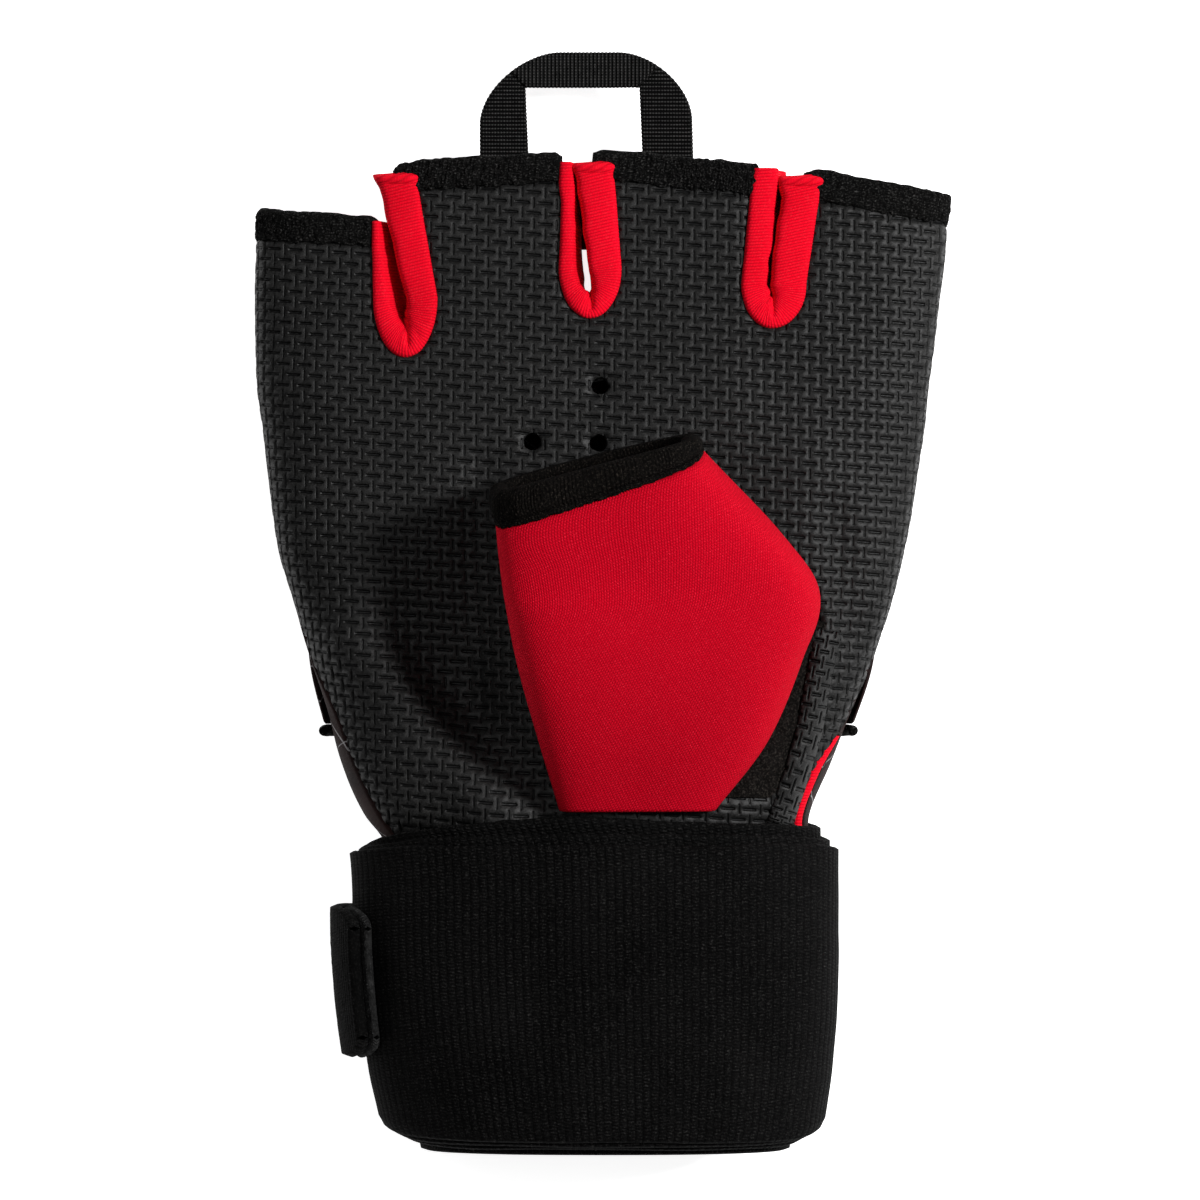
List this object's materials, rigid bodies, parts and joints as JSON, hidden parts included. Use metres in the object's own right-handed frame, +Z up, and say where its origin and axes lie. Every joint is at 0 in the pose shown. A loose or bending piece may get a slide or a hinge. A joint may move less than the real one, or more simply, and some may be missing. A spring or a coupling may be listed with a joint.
{
  "type": "boxing inner glove",
  "caption": "Open-fingered boxing inner glove with a padded knuckle cover, an embossed palm, a thumb stall, a wound elastic wrist wrap and a pull loop.",
  "frame": {"origin": "centre of the glove's footprint on the surface that it lies on, knuckles down", "axes": "+X to the thumb side, +Y from the wrist to the fingers, +Z up out of the palm"},
  "size_m": [0.1164, 0.1832, 0.0514],
  "materials": {
    "palm_rubber": "embossed basket-weave rubber coating, matt",
    "back_print": "dark brown-black brushed knit with thin pale crossing lines",
    "gusset_red": "bright red stretch knit with fine ribs",
    "hem_knit": "black fuzzy rib knit",
    "thumb_jersey": "deep red brushed jersey over foam",
    "thumb_lining": "smooth brown-black jersey",
    "wrap_elastic": "black ribbed elastic webbing, fuzzy",
    "closure_hook": "black hook tape",
    "loop_webbing": "black ribbed narrow webbing"
  },
  "bodies": {
    "root": {"palm_panel": "palm_rubber", "palm_edge": "palm_rubber", "back_panel": "back_print", "knuckle_pad": "back_print", "side_gusset": "gusset_red", "fourchette_pinky_ring": "gusset_red", "fourchette_ring_middle": "gusset_red", "fourchette_middle_index": "gusset_red", "pad_hem": "hem_knit", "thumb_binding": "hem_knit", "wrist_cuff": "hem_knit", "thumb_stall": "thumb_jersey", "thumb_root": "thumb_lining", "wrist_wrap": "wrap_elastic", "closure_tab": "wrap_elastic", "closure_hook": "closure_hook", "pull_loop": "loop_webbing", "hem_palm_pinky": "hem_knit", "hem_back_pinky": "hem_knit", "hem_palm_ring": "hem_knit", "hem_back_ring": "hem_knit", "hem_palm_middle": "hem_knit", "hem_back_middle": "hem_knit", "hem_palm_index": "hem_knit", "hem_back_index": "hem_knit"}
  },
  "joints": []
}
